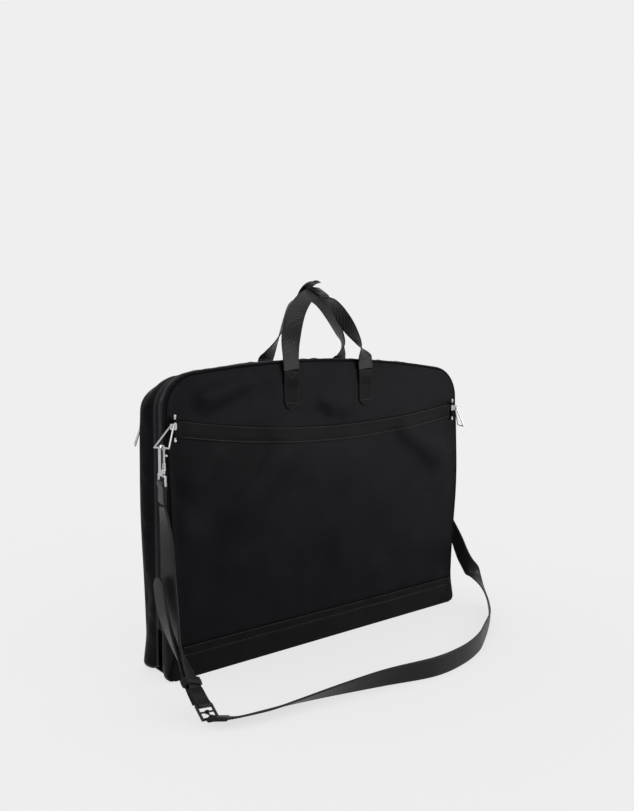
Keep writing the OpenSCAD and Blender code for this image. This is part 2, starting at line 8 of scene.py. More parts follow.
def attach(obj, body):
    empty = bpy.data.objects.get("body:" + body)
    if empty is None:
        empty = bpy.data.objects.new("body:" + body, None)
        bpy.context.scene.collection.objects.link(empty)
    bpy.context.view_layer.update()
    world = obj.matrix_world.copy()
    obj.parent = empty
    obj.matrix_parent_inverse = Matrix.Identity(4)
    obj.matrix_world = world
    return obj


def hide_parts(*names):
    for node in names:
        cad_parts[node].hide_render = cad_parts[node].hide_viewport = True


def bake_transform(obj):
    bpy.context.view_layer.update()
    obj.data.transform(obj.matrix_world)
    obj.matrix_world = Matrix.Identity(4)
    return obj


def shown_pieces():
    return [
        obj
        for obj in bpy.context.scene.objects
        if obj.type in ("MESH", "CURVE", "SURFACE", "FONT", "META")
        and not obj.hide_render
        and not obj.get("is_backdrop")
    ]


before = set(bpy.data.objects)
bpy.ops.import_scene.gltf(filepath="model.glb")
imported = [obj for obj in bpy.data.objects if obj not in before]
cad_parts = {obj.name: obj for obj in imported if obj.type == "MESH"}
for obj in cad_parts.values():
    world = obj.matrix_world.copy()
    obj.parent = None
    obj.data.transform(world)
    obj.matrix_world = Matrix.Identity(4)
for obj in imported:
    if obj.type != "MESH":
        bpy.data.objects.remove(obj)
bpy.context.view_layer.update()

MM = 0.001

# ---------------------------------------------------------------- sizes, in millimetres
# The case stands on z = 0, its front is towards -Y, and its two leaves meet at y = 0.
CASE_W, CASE_H, TOP_SAG = 580, 442, 23
TOP_R, LOW_R = 52, 11
HALF_W, FACE_Y = CASE_W / 2, 37.5
ARCH_R = (HALF_W ** 2 + TOP_SAG ** 2) / (2 * TOP_SAG)
ARCH_Z = CASE_H - ARCH_R
TRIM_Z, TRIM_SAG, TRIM_H = 351, 24, 25
PIN_X, PIN_Y, LUG_Z = HALF_W - 13, FACE_Y + 3.4, 354
CURVE_R = (PIN_X ** 2 + TRIM_SAG ** 2) / (2 * TRIM_SAG)
CURVE_Z = TRIM_Z - TRIM_SAG + CURVE_R
BAND_H = 46
TAB_X, TAB_LOW, TAB_TOP = 75, 366, 425.5
HANDLE_W, STRAP_W = 30, 28
HANDLE_Y, HANDLE_Z = FACE_Y + 2, 427
ZIP_FOOT_Z = 62

# Each route lists the middle of a strip and the direction across it. The middles follow the CAD model;
# the hanging strap and its tail turn their faces a little more to the front than their CAD solids.
FRONT_HANDLE = [
    ((-76, -HANDLE_Y, HANDLE_Z), (1, 0, 0)), ((-78, -39.3, 446), (1, 0, 0)),
    ((-77, -34.5, 474), (0.96, -0.28, 0)), ((-63, -26, 508), (0.7, -0.7, -0.1)),
    ((-42, -19, 533), (0.25, -0.9, -0.35)), ((-22, -17, 544), (0, -0.88, -0.47)),
    ((2, -17, 544), (0, -0.88, -0.47)), ((20, -18, 531), (0.05, -0.97, -0.15)),
    ((42, -23, 500), (0.15, -0.96, 0.2)), ((61, -33, 468), (-0.45, -0.88, 0.1)),
    ((70, -39, 447), (-0.99, -0.1, 0)), ((72.5, -HANDLE_Y, 440), (-1, 0, 0)),
    ((74, -HANDLE_Y, HANDLE_Z), (-1, 0, 0)),
]
BACK_HANDLE = [
    ((-74, HANDLE_Y, HANDLE_Z), (-1, 0, 0)), ((-72.5, HANDLE_Y, 440), (-1, 0, 0)),
    ((-67, 35, 452), (-0.92, -0.35, 0)), ((-57, 25, 476), (-0.6, -0.8, 0)),
    ((-46, 19, 508), (-0.3, -0.93, 0.2)), ((-34, 17.5, 533), (-0.1, -0.92, 0.35)),
    ((-18, 17, 543.5), (0, -0.88, 0.47)), ((6, 17, 543.5), (0, -0.88, 0.47)),
    ((26, 17.5, 532), (-0.1, -0.95, 0.3)), ((50, 18, 504), (-0.2, -0.97, 0.15)),
    ((72, 24, 474), (-0.4, -0.9, 0)), ((79, 34, 453), (-0.85, -0.5, 0)),
    ((78.5, HANDLE_Y, 440), (-1, 0, 0)), ((78, HANDLE_Y, HANDLE_Z), (-1, 0, 0)),
]
SHORT_STRAP = [
    ((-303.4, -52.6, 249.5), (0.2, 0.98, 0)), ((-301.6, -60, 206), (-0.1, 0.99, 0)),
    ((-302.6, -69, 152), (-0.12, 0.99, -0.12)), ((-304.5, -83, 111), (0.05, 0.93, -0.35)),
    ((-308, -107, 74), (0.45, 0.75, -0.45)), ((-308.5, -134, 45), (0.8, 0.48, -0.38)),
    ((-308.5, -157.7, 23.8), (0.86, 0.4, -0.29)),
]
STRAP_TAIL = [
    ((-314, -57, 157), (0.0, 0.97, -0.25)), ((-314, -68, 118), (0.0, 0.95, -0.3)),
    ((-313.5, -88, 85), (0.25, 0.85, -0.45)), ((-312.5, -113, 58), (0.5, 0.68, -0.52)),
    ((-311.8, -138, 36.5), (0.84, 0.42, -0.36)), ((-310.5, -156.6, 19.4), (0.86, 0.4, -0.29)),
]
LONG_STRAP = [
    ((-299, -180.5, 7.5), (-0.7, -0.66, 0.22)), ((-276, -193.5, 7.6), (-0.5, -0.75, 0.42)),
    ((-237, -201, 7.8), (-0.3, -0.85, 0.43)), ((-195, -206, 8.9), (-0.2, -0.8, 0.55)),
    ((-134, -218, 12), (-0.1, -0.6, 0.78)), ((-66, -232, 14.2), (0, -0.3, 0.95)),
    ((12, -250, 14.8), (0, 0, 1)), ((75, -246, 14.8), (0, 0, 1)), ((130, -229, 14.8), (0, 0, 1)),
    ((172, -206, 14.8), (0.05, 0, 1)), ((222, -175, 16), (0.05, -0.1, 1)),
    ((266, -139, 17), (-0.2, 0, 0.98)), ((300, -104, 25), (-0.35, 0.25, 0.9)),
    ((310, -74, 48), (-0.25, 0.7, 0.7)), ((309, -46, 78), (-0.1, 0.9, 0.4)),
    ((309, -22, 118), (0, 0.96, 0.28)), ((305, 22, 182), (0.1, 0.99, 0.1)),
    ((304, 46, 222), (0.2, 0.98, 0)), ((303.4, 52.6, 250), (0.2, 0.98, 0)),
]
LUG_TURN, LUG_REACH, RING_DROP, LOADED_LEAN = 24, 7, 34, 40
HOOK_LEN, SWIVEL_DROP, STRAP_TURN, END_LEN = 32, 16, -36, 26
BUCKLE_HALF = 9
BUCKLE_AT, BUCKLE_ACROSS, BUCKLE_RUN = (-307, -168.5, 13.6), (0.86, 0.4, -0.29), (0.1, -0.72, -0.69)
LOOP_AT, LOOP_ACROSS, LOOP_RUN = (-310.2, -136, 40.7), (0.83, 0.42, -0.36), (0.02, -0.74, -0.67)


# ---------------------------------------------------------------- camera, lights and floor
def add_camera():
    # The sensor lies along the longer side of the picture, its height
    picture_h, focal = 811, 787
    data = bpy.data.cameras.new("camera")
    data.sensor_width = 36
    data.lens = focal / picture_h * data.sensor_width
    cam = bpy.data.objects.new("camera", data)
    bpy.context.scene.collection.objects.link(cam)
    place, ahead = (-0.7875, -0.984, 0.456), Vector((0.6237, 0.7785, -0.0698)).normalized()
    right = ahead.cross(Vector((0, 0, 1))).normalized()
    up = right.cross(ahead)
    turn = Matrix((right, up, -ahead)).transposed()
    cam.matrix_world = Matrix.Translation(place) @ turn.to_4x4()
    bpy.context.scene.camera = cam


def add_light(name, place, aim, size, power):
    """A soft round lamp. It lights only the case, so that the floor stays even."""
    data = bpy.data.lights.new(name, "AREA")
    data.shape = "DISK"
    data.size = size
    data.energy = power
    lamp = bpy.data.objects.new(name, data)
    bpy.context.scene.collection.objects.link(lamp)
    place = Vector(place)
    turn = (Vector(aim) - place).to_track_quat("-Z", "Y").to_matrix().to_4x4()
    lamp.matrix_world = Matrix.Translation(place) @ turn
    return lamp


def add_studio():
    scene = bpy.context.scene
    scene.view_settings.view_transform = "Standard"
    world = bpy.data.worlds.new("studio")
    world.use_nodes = True
    pale = 0.863
    back = world.node_tree.nodes["Background"]
    back.inputs["Color"].default_value = (pale, pale, pale, 1)
    scene.world = world
    mesh = bpy.data.meshes.new("floor")
    wide, low = 60.0, -0.0002
    corners = [(-wide, -wide, low), (wide, -wide, low), (wide, wide, low), (-wide, wide, low)]
    mesh.from_pydata(corners, [], [(0, 1, 2, 3)])
    floor = bpy.data.objects.new("floor", mesh)
    scene.collection.objects.link(floor)
    # A pale floor that glows faintly, as a lit studio sweep does, so that it meets the wall unseen
    reflects = 0.2
    mat = plain("floor", (reflects, reflects, reflects), 1.0, specular=0.0)
    bsdf = mat.node_tree.nodes["Principled BSDF"]
    bsdf.inputs["Emission Color"].default_value = (1, 1, 1, 1)
    bsdf.inputs["Emission Strength"].default_value = pale * (1 - reflects)
    mesh.materials.append(mat)
    floor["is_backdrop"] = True
    lamps = [
        add_light("key", (1.15, -1.4, 0.82), (0.0, 0.0, 0.42), 0.75, 20),
        add_light("top", (-0.3, -0.2, 1.8), (0, 0, 0.5), 0.6, 4),
    ]
    lit = bpy.data.collections.new("lit by the lamps")
    for lamp in lamps:
        lamp.light_linking.receiver_collection = lit
    return lit


# ---------------------------------------------------------------- materials
def shader(name):
    mat = bpy.data.materials.new(name)
    mat.use_nodes = True
    return mat, mat.node_tree, mat.node_tree.nodes["Principled BSDF"]


def plain(name, colour, roughness, specular=0.5):
    mat, _, bsdf = shader(name)
    bsdf.inputs["Base Color"].default_value = (*colour, 1)
    bsdf.inputs["Roughness"].default_value = roughness
    bsdf.inputs["Specular IOR Level"].default_value = specular
    return mat


def node(tree, kind, **values):
    """A shader node. Each value goes to the input of that name or, where there is none, to the setting."""
    made = tree.nodes.new(kind)
    for key, value in values.items():
        if key in made.inputs:
            made.inputs[key].default_value = value
        else:
            setattr(made, key, value)
    return made


def spots(tree, scale, detail=2.0, stretch=(1, 1, 1), kind="ShaderNodeTexNoise", **more):
    """A noise, wave or Voronoi pattern in the object's own coordinates."""
    place = node(tree, "ShaderNodeTexCoord")
    fit = node(tree, "ShaderNodeMapping", Scale=stretch)
    tex = node(tree, kind, Scale=scale, Detail=detail, **more)
    tree.links.new(place.outputs["Object"], fit.inputs["Vector"])
    tree.links.new(fit.outputs["Vector"], tex.inputs["Vector"])
    return tex


def ramp(tree, source, low, high, start=0.3, end=0.7):
    made = node(tree, "ShaderNodeValToRGB")
    made.color_ramp.elements[0].position = start
    made.color_ramp.elements[1].position = end
    made.color_ramp.elements[0].color = (*low, 1)
    made.color_ramp.elements[1].color = (*high, 1)
    tree.links.new(source, made.inputs["Fac"])
    return made.outputs["Color"]


def grey_ramp(tree, source, low, high, start=0.3, end=0.7):
    return ramp(tree, source, (low,) * 3, (high,) * 3, start, end)


def bump(tree, bsdf, layers):
    """Adds bump layers, each a height output, a strength and a depth in metres."""
    normal = None
    for height, strength, depth in layers:
        made = node(tree, "ShaderNodeBump", Strength=strength, Distance=depth)
        tree.links.new(height, made.inputs["Height"])
        if normal:
            tree.links.new(normal, made.inputs["Normal"])
        normal = made.outputs["Normal"]
    tree.links.new(normal, bsdf.inputs["Normal"])


def woven(name, dark, light, pitch, roughness, sheen=0.0, sheen_tint=(1, 1, 1), depth=0.0002, shine=0.2):
    """Cloth: two crossing wave patterns for the threads, over soft colour variation."""
    mat, tree, bsdf = shader(name)
    scale = 1 / (pitch * MM) / 6.28
    warp, weft = (
        spots(tree, scale, stretch=(1, 1, slant), kind="ShaderNodeTexWave", wave_type="BANDS",
              bands_direction="DIAGONAL", Distortion=0.4)
        for slant in (1, -1)
    )
    cloud = spots(tree, 18, 4)
    fine = spots(tree, 900, 2)
    tree.links.new(ramp(tree, cloud.outputs["Fac"], dark, light), bsdf.inputs["Base Color"])
    rough = grey_ramp(tree, fine.outputs["Fac"], roughness - 0.08, roughness + 0.08)
    tree.links.new(rough, bsdf.inputs["Roughness"])
    bsdf.inputs["Specular IOR Level"].default_value = shine
    bsdf.inputs["Sheen Weight"].default_value = sheen
    bsdf.inputs["Sheen Tint"].default_value = (*sheen_tint, 1)
    bsdf.inputs["Sheen Roughness"].default_value = 0.45
    bump(tree, bsdf, [(warp.outputs["Fac"], 0.5, depth), (weft.outputs["Fac"], 0.5, depth),
                      (cloud.outputs["Fac"], 0.25, 0.0012)])
    return mat


def hide(name, dark, light, grain, roughness, strength=0.5, shine=0.25):
    """Leather: pebbles from a Voronoi pattern, pores from noise, and slightly paler high spots."""
    mat, tree, bsdf = shader(name)
    pebble = spots(tree, 1 / (grain * MM), kind="ShaderNodeTexVoronoi", feature="SMOOTH_F1")
    pores = spots(tree, 1500, 3)
    patch = spots(tree, 30, 3)
    tree.links.new(ramp(tree, patch.outputs["Fac"], dark, light), bsdf.inputs["Base Color"])
    rough = grey_ramp(tree, pebble.outputs["Distance"], roughness - 0.08, roughness + 0.12, 0.1, 0.7)
    tree.links.new(rough, bsdf.inputs["Roughness"])
    bsdf.inputs["Specular IOR Level"].default_value = shine
    bump(tree, bsdf, [(pebble.outputs["Distance"], strength, -grain * MM * 0.35),
                      (pores.outputs["Fac"], 0.2, 0.0001)])
    return mat


def metal(name, colour, roughness):
    """Metal with faint rub marks and slightly darker patches."""
    mat, tree, bsdf = shader(name)
    rub = spots(tree, 260, 3, stretch=(1, 1, 0.3))
    wear = spots(tree, 60, 2)
    bsdf.inputs["Metallic"].default_value = 1.0
    low = tuple(c * 0.86 for c in colour)
    tree.links.new(ramp(tree, wear.outputs["Fac"], low, colour), bsdf.inputs["Base Color"])
    rough = grey_ramp(tree, rub.outputs["Fac"], roughness * 0.7, roughness * 1.4)
    tree.links.new(rough, bsdf.inputs["Roughness"])
    bump(tree, bsdf, [(rub.outputs["Fac"], 0.08, 0.0001)])
    return mat


def make_materials():
    return {
        "nylon": woven("nylon", (0.002, 0.0019, 0.0028), (0.0034, 0.0032, 0.0048), 0.5, 0.4,
                       sheen=0.004, sheen_tint=(0.8, 0.78, 1.0), shine=0.05),
        "webbing": woven("webbing", (0.004, 0.004, 0.0046), (0.0075, 0.0075, 0.009), 1.1, 0.4,
                         sheen=0.03, depth=0.0005),
        "lining": woven("lining", (0.012, 0.012, 0.014), (0.02, 0.02, 0.024), 0.9, 0.7, sheen=0.05),
        "tape": woven("zip tape", (0.004, 0.004, 0.005), (0.007, 0.007, 0.008), 0.8, 0.7),
        "leather": hide("pebbled leather", (0.0012, 0.0012, 0.0013), (0.0024, 0.0024, 0.0026), 1.5, 0.36,
                        strength=0.9, shine=0.06),
        "strap": hide("strap leather", (0.0035, 0.0035, 0.0038), (0.006, 0.006, 0.0065), 0.7, 0.34,
                      strength=0.25, shine=0.2),
        "thread": plain("thread", (0.008, 0.008, 0.0085), 0.5),
        "nickel": metal("polished nickel", (0.55, 0.55, 0.56), 0.13),
        "gunmetal": metal("gunmetal", (0.04, 0.04, 0.042), 0.22),
        "teeth": metal("zip coil", (0.05, 0.05, 0.055), 0.4),
    }


# ---------------------------------------------------------------- small shape helpers
def ease(t):
    t = min(max(t, 0.0), 1.0)
    return t * t * (3 - 2 * t)


def mix(a, b, t):
    return a + (b - a) * t


def spread(low, high, count):
    return [mix(low, high, i / (count - 1)) for i in range(count)]


def arc(x, z, r, start, end, steps):
    turns = [mix(start, end, i / steps) for i in range(steps)]
    return [(x + r * math.cos(a), z + r * math.sin(a)) for a in turns]


class Piece:
    """Gathers points in millimetres and faces, then becomes one Blender object in metres."""

    def __init__(self):
        self.points, self.faces, self.slots = [], [], []

    def add(self, points, faces, slot=0):
        """Adds points, and faces that count from the first of them."""
        base = len(self.points)
        self.points += [Vector(p) for p in points]
        self.faces += [tuple(base + i for i in face) for face in faces]
        self.slots += [slot] * len(faces)

    def rings(self, rings, slot=0, closed=True, caps=True):
        """Joins rings of equal length; closed rings go right round, and caps fill the two ends."""
        n = len(rings[0])
        last = n if closed else n - 1
        faces = [
            (i * n + k, i * n + (k + 1) % n, (i + 1) * n + (k + 1) % n, (i + 1) * n + k)
            for i in range(len(rings) - 1) for k in range(last)
        ]
        if caps:
            faces += [tuple(reversed(range(n))), tuple((len(rings) - 1) * n + k for k in range(n))]
        self.add([p for ring in rings for p in ring], faces, slot)

    def slab(self, us, vs, at, thick, slot=0, edge=0.45):
        """A closed sheet over a grid. at(u, v, h) is the point at height h; the rim is lower."""
        nu, nv = len(us), len(vs)
        points, faces = [], []
        for level in (0, 1):
            for i, u in enumerate(us):
                for j, v in enumerate(vs):
                    rim = i in (0, nu - 1) or j in (0, nv - 1)
                    full = thick(u, v) if callable(thick) else thick
                    points.append(at(u, v, full * (edge if rim else 1.0) if level else 0.0))
        for i in range(nu - 1):
            for j in range(nv - 1):
                a = i * nv + j
                faces.append((a, a + 1, a + nv + 1, a + nv))
                b = a + nu * nv
                faces.append((b, b + nv, b + nv + 1, b + 1))
        rim = [i * nv for i in range(nu)] + [(nu - 1) * nv + j for j in range(1, nv)]
        rim += [i * nv + nv - 1 for i in range(nu - 2, -1, -1)] + list(range(nv - 2, 0, -1))
        for k, a in enumerate(rim):
            b = rim[(k + 1) % len(rim)]
            faces.append((a, b, b + nu * nv, a + nu * nv))
        self.add(points, faces, slot)

    def stitches(self, path, slot=1, length=2.7, pitch=4.0, radius=0.33, sides=5):
        """Threads along a path of (point, outward normal)."""
        path = [(Vector(p), Vector(n).normalized()) for p, n in path]
        walked, target = 0.0, pitch / 2
        for (p, n), (q, _) in zip(path, path[1:]):
            step = (q - p).length
            while step and target <= walked + step:
                middle = p.lerp(q, (target - walked) / step)
                self.capsule(middle, (q - p) / step, n, length, radius, slot, sides)
                target += pitch
            walked += step

    def capsule(self, middle, along, out, length, radius, slot=0, sides=5):
        """A short thread with two pointed ends."""
        across = along.cross(out).normalized()
        up = across.cross(along)
        points = [middle - along * length / 2]
        for end in (-0.32, 0.32):
            for k in range(sides):
                a = 2 * math.pi * k / sides
                spoke = across * math.cos(a) + up * math.sin(a)
                points.append(middle + along * length * end + spoke * radius)
        points.append(middle + along * length / 2)
        tip = len(points) - 1
        faces = []
        for k in range(sides):
            a, b = 1 + k, 1 + (k + 1) % sides
            faces += [(0, b, a), (a, b, b + sides, a + sides), (a + sides, b + sides, tip)]
        self.add(points, faces, slot)

    def fill(self, loop, inner, at, slot=0):
        """Fills a loop of (x, z) with triangles through inner points; at(x, z) places each one."""
        flat = [Vector(p) for p in loop + inner]
        edges = [(i, (i + 1) % len(loop)) for i in range(len(loop))]
        found = delaunay_2d_cdt(flat, edges, [], 1, 1e-5)
        self.add([at(p.x, p.y) for p in found[0]], found[2], slot)

    def build(self, name, materials, body=None, replaces=(), sharp=40, weld=0.0005):
        """Makes the object, gives each face its material slot, parents it to its body's empty and hides the
        CAD nodes that it replaces.
        """
        mesh = bpy.data.meshes.new(name)
        mesh.from_pydata([p * MM for p in self.points], [], self.faces)
        for material in materials:
            mesh.materials.append(material)
        mesh.polygons.foreach_set("material_index", self.slots)
        shape = bmesh.new()
        shape.from_mesh(mesh)
        bmesh.ops.remove_doubles(shape, verts=shape.verts, dist=weld * MM)
        bmesh.ops.recalc_face_normals(shape, faces=shape.faces)
        shape.to_mesh(mesh)
        shape.free()
        mesh.shade_smooth()
        mesh.set_sharp_from_angle(angle=math.radians(sharp))
        obj = bpy.data.objects.new(name, mesh)
        bpy.context.scene.collection.objects.link(obj)
        if body:
            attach(obj, body)
        if replaces:
            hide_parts(*replaces)
        return obj


# ---------------------------------------------------------------- the shape of a leaf
# Folds in the cloth of each face, over the whole of its height: from, to, width and height
FOLDS = {
    "front": [
        ((-150, 418), (-236, 385), 18, 2.2), ((-114, 400), (-228, 357), 13, -1.6),
        ((-127, 322), (-238, 220), 20, -1.8), ((-70, 322), (-196, 196), 26, 1.9),
        ((-200, 318), (-262, 262), 20, 1.7), ((112, 326), (210, 236), 22, -1.6),
        ((150, 330), (258, 262), 24, 2.0), ((-56, 352), (-5, 358), 12, -1.4),
        ((-20, 376), (44, 366), 16, 1.5), ((-240, 120), (-120, 66), 26, -1.6),
        ((60, 300), (20, 120), 40, 1.3), ((90, 70), (210, 120), 30, 1.2),
    ],
    "back": [
        ((120, 402), (222, 366), 15, -2.2), ((130, 318), (236, 214), 22, -2.4),
        ((-140, 316), (-248, 236), 20, 2.0), ((-60, 300), (-20, 180), 26, -1.3),
        ((150, 110), (70, 60), 26, 1.4),
    ],
}
# Which way each leaf faces, the seed of its ripples, and how far the middle of its top leans inwards
OUT = {"front": -1, "back": 1}
SEED = {"front": 3.7, "back": 11.3}
LEAN = {"front": 5.0, "back": 3.0}
# How far each side edge is drawn in near the bottom, and how far it bulges half way up: left, right
DRAWN_IN = {"front": (14, 9), "back": (6, 8)}
BULGE = {"front": (0, 8), "back": (3, 0)}
# How deep the cloth can sink before the board inside stops it, and how much the folds are heightened
SINK_LIMIT, FOLD_GAIN = 2.0, 2.2
# How far the back leaf's corner moves inwards and down, and how far its whole top edge sinks
CORNER_IN, CORNER_DOWN, TOP_DOWN = 7, 11, 3
# How far the panel and the pocket stand from the plane where the leaves meet, and the lowest cloth
PANEL_D, POCKET_D, MIN_Z = 36.3, 37.5, 1.0
# Where the face ends and the rolled seam starts, as an inset of the outline
FACE_INSET = 7.5


def corner_centres(inset=0):
    """Top and lower corners of the right half: radius, x and z of each."""
    r, low_r = max(TOP_R - inset, 1), max(LOW_R - inset, 1)
    x = HALF_W - inset - r
    z = ARCH_Z + math.sqrt((ARCH_R - inset - r) ** 2 - x * x)
    return r, x, z, low_r, HALF_W - inset - low_r, inset + low_r


def outline(inset):
    """The edge of a leaf taken in by inset, always with the same number of points."""
    r, x, z, low_r, low_x, low_z = corner_centres(inset)
    meet = math.atan2(z - ARCH_Z, x)
    right = arc(low_x, low_z, low_r, -math.pi / 2, 0, 10)
    right += [(HALF_W - inset, mix(low_z, z, i / 56)) for i in range(56)]
    right += arc(x, z, r, 0, meet, 14)
    right += arc(0, ARCH_Z, ARCH_R - inset, meet, math.pi / 2, 42)
    left = [(-px, pz) for px, pz in reversed(right)]
    low = [(mix(-low_x, low_x, i / 80), inset) for i in range(1, 80)]
    return right + [(0, ARCH_Z + ARCH_R - inset)] + left + low


def edge_gap(x, z):
    """How far inside the outline a point is."""
    r, cx, cz, low_r, low_x, low_z = corner_centres()
    x = abs(x)
    if x > cx and z > cz:
        return r - math.hypot(x - cx, z - cz)
    if x > low_x and z < low_z:
        return low_r - math.hypot(x - low_x, z - low_z)
    return min(HALF_W - x, z, ARCH_R - math.hypot(x, z - ARCH_Z))


def band_z(x):
    """Height of the middle of the sagging trim band."""
    return CURVE_Z - math.sqrt(CURVE_R ** 2 - x * x)


def lean(side, x, z):
    """How far the top of a face leans towards the other leaf."""
    return LEAN[side] * ease((z - 240) / 190) * max(0.0, 1 - (x / HALF_W) ** 2)


def drift(side, x, z, gap):
    """Sideways shift: edges drawn in near the bottom and bulging half way up, and the sunk corner."""
    left, right = DRAWN_IN[side]
    pull = (left if x < 0 else -right) * max(0.0, 1 - z / 320) * ease(z / 55)
    left, right = BULGE[side]
    pull += (-left if x < 0 else right) * math.exp(-((z - 225) / 95) ** 2)
    return pull * ease(1 - gap / 70) + CORNER_IN * slump(side, x, z)


def slump(side, x, z):
    """How far, from 0 to 1, the back leaf's top left corner has sunk."""
    if side == "front":
        return 0.0
    return ease((-x - 120) / 150) * ease((z - 362) / 80)


def sunk(side, x, z):
    """Height of a point once the back leaf's corner and top edge have sunk."""
    if side == "back":
        z -= CORNER_DOWN * slump(side, x, z) + TOP_DOWN * ease((z - 380) / 60)
    return max(z, MIN_Z)


def ripples(side, x, z):
    """Slack in the cloth, at three sizes."""
    seed = SEED[side]
    wide = noise.noise(Vector((x / 95, z / 80, seed)))
    small = noise.noise(Vector((x / 34, z / 42, seed + 5)))
    fine = noise.noise(Vector((x / 12, z / 13, seed + 9)))
    return 1.9 * wide + 0.8 * small + 0.16 * fine


def folds(side, x, z):
    """Height of the folds listed above."""
    total = 0.0
    for start, end, width, height in FOLDS[side]:
        a, b, p = Vector(start), Vector(end), Vector((x, z))
        run = b - a
        t = (p - a).dot(run) / run.length_squared
        off = (p - a - run * t).length / width
        total += height * math.exp(-off * off) * ease(t * 3 + 0.5) * ease((1 - t) * 3 + 0.5)
    return total


def face_d(side, x, z):
    """Distance of the outer cloth from the plane where the leaves meet."""
    gap = edge_gap(x, z)
    d = mix(POCKET_D, PANEL_D, ease((z - band_z(x)) / 8 + 0.5))
    slack = FOLD_GAIN * folds(side, x, z) + ripples(side, x, z)
    if slack < 0:
        slack = -SINK_LIMIT * (1 - math.exp(slack / SINK_LIMIT))
    d += slack * ease(gap / 26)
    return d + 1.0 * ease(gap / 45) - 0.7 - lean(side, x, z)


def on_face(side, x, z, h):
    """A point at height h above the cloth of a face."""
    gap = edge_gap(x, z)
    d = face_d(side, x, z) + h
    return Vector((x + drift(side, x, z, gap), OUT[side] * d, sunk(side, x, z)))


def in_wall(side, x, z, d):
    """A point of the wall round a leaf; the wall follows the face less as it nears the zip."""
    gap = edge_gap(x, z)
    near = ease((d - 8) / 26)
    low = z - sunk(side, x, z)
    x += drift(side, x, z, gap) * near
    depth = d + (face_d(side, x, z) + 0.7 - PANEL_D) * ease((d - 12) / 22)
    pucker = noise.noise(Vector((x / 16, z / 16, d / 22 + SEED[side]))) * 2.4
    pucker += noise.noise(Vector((x / 5, z / 6, d / 30 + SEED[side]))) * 0.4
    belly = ease((d - 9) / 8) * ease((34 - d) / 8)
    middle = Vector((0, 0.5 * CASE_H))
    inwards = (middle - Vector((x, z))).normalized()
    if abs(x) < HALF_W - TOP_R:
        inwards = Vector((0, -1 if z > middle.y else 1))
    x += inwards.x * pucker * belly
    z += inwards.y * pucker * belly
    if z < 12 and abs(x) < HALF_W - LOW_R:
        # Along the bottom the spine board takes the wall's place, so only a lip is left.
        hidden = ease((12 - z) / 6) * ease((HALF_W - LOW_R - abs(x)) / 10)
        depth = mix(depth, 32.5 + 0.12 * (depth - 32.5), hidden)
    return Vector((x, OUT[side] * depth, max(z - low * near, MIN_Z)))


# The wall in section, as inset and distance: seam, roll, groove, zip lip, then back inside
SEAM = [(4.6, 36.2), (3.3, 35.6), (2.7, 34.7)]
ROLL = [(2.1, 35.0), (1.2, 35.9), (0.2, 35.9), (-0.8, 34.9), (-1.4, 33.0), (-1.6, 30.0), (-1.4, 27.0),
        (-0.9, 24.0), (0.0, 21.2), (1.3, 18.6), (2.8, 16.0), (4.3, 13.4), (5.7, 11.0), (6.6, 9.0)]
LIP = [(6.9, 7.6), (7.4, 7.1), (8.4, 7.1), (9.1, 7.8)]
INNER = [(9.3, 10.0), (8.8, 14.0), (7.6, 20.0), (6.4, 27.0), (5.8, 33.4)]


def inner_grid(pitch, margin):
    columns, rows = int(CASE_W / pitch), int(CASE_H / pitch)
    points = [
        (-HALF_W + (i + 0.5 * (j % 2)) * CASE_W / columns, j * CASE_H / rows)
        for j in range(rows + 1) for i in range(columns + 1)
    ]
    return [p for p in points if edge_gap(*p) > margin]


def add_shell(side, look):
    """The padded cloth of a leaf: face, seam, wall, zip lip and lining."""
    shell = Piece()
    face_edge = outline(FACE_INSET)
    shell.fill(face_edge, inner_grid(6.5, 10.5), lambda x, z: on_face(side, x, max(z, MIN_Z), 0))
    first = [on_face(side, x, max(z, MIN_Z), 0) for x, z in face_edge]
    profile = SEAM + ROLL
    wall = [[in_wall(side, x, z, d) for x, z in outline(inset)] for inset, d in profile]
    shell.rings([first] + wall, 0, caps=False)
    lip = [[in_wall(side, x, z, d) for x, z in outline(inset)] for inset, d in [profile[-1]] + LIP]
    shell.rings(lip, 1, caps=False)
    inner = [[in_wall(side, x, z, d) for x, z in outline(inset)] for inset, d in [LIP[-1]] + INNER]
    shell.rings(inner, 1, caps=False)
    back = outline(INNER[-1][0])
    shell.fill(back, inner_grid(16, 22), lambda x, z: in_wall(side, x, z, INNER[-1][1]), 1)
    parts = [f"{side}_{n}" for n in ("panel", "gusset", "piping", "pocket_panel")]
    looks = [look["nylon"], look["lining"]]
    obj = shell.build(f"{side}_shell", looks, f"{side}_leaf", parts, 60, 0.02)


def add_board(side, look):
    """The stiff board behind the face, covered in lining."""
    board = Piece()
    inset, low, high = 7.0, 31.3, 33.1
    loop = outline(inset)
    flat = inner_grid(24, 26)
    ring = [(low + 0.5, inset), (low, inset + 0.8)]

    def at(x, z, d):
        gap = edge_gap(x, z)
        y = OUT[side] * (d - lean(side, x, z) * 0.9)
        return Vector((x + drift(side, x, z, gap), y, max(z, MIN_Z + 0.3)))

    board.fill(loop, flat, lambda x, z: at(x, z, high))
    rings = [[at(x, z, high) for x, z in loop]]
    rings += [[at(x, z, d) for x, z in outline(i)] for d, i in ring]
    board.rings(rings, 0, caps=False)
    board.fill(outline(inset + 0.8), flat, lambda x, z: at(x, z, low))
    looks, parts = [look["lining"]], [f"{side}_board"]
    board.build(f"{side}_lined_board", looks, f"{side}_leaf", parts, 35, 0.02)


